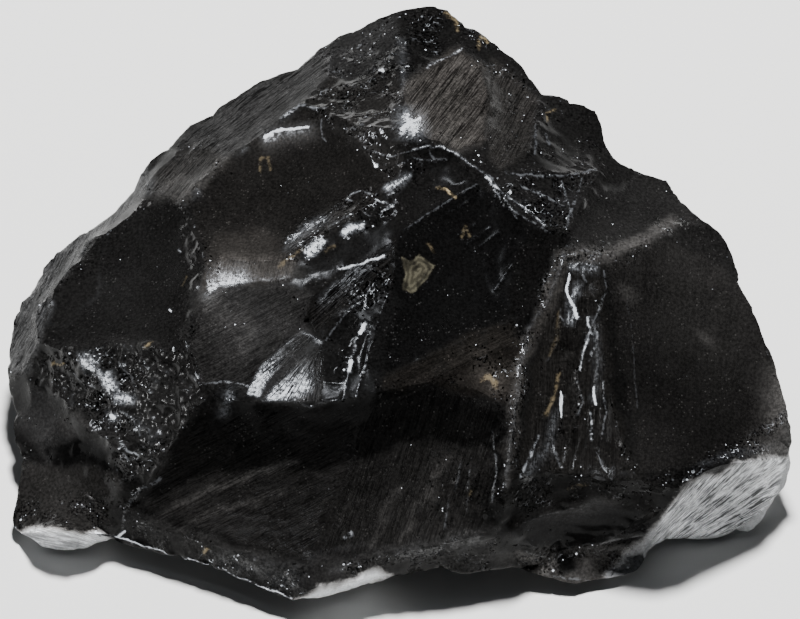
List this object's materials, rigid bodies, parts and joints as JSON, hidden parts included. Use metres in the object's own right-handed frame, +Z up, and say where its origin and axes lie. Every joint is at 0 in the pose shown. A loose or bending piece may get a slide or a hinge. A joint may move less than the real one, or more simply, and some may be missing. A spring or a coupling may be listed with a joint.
{
  "type": "obsidian lump",
  "caption": "Irregular broken lump of glassy black rock with hollow conchoidal scars and sharp ridges, resting on one flat face.",
  "frame": {"origin": "centre of the lump's bounding box, on the plane of its flat resting face", "axes": "+X along the longest extent, +Z up from the resting face, and the side with the long low dark scoop faces -Y"},
  "size_m": [0.1412, 0.1158, 0.0513],
  "materials": {
    "black_glass": "glossy fracture surfaces, duller where hackled or crushed"
  },
  "bodies": {
    "root": {"lump": "black_glass"}
  },
  "joints": []
}
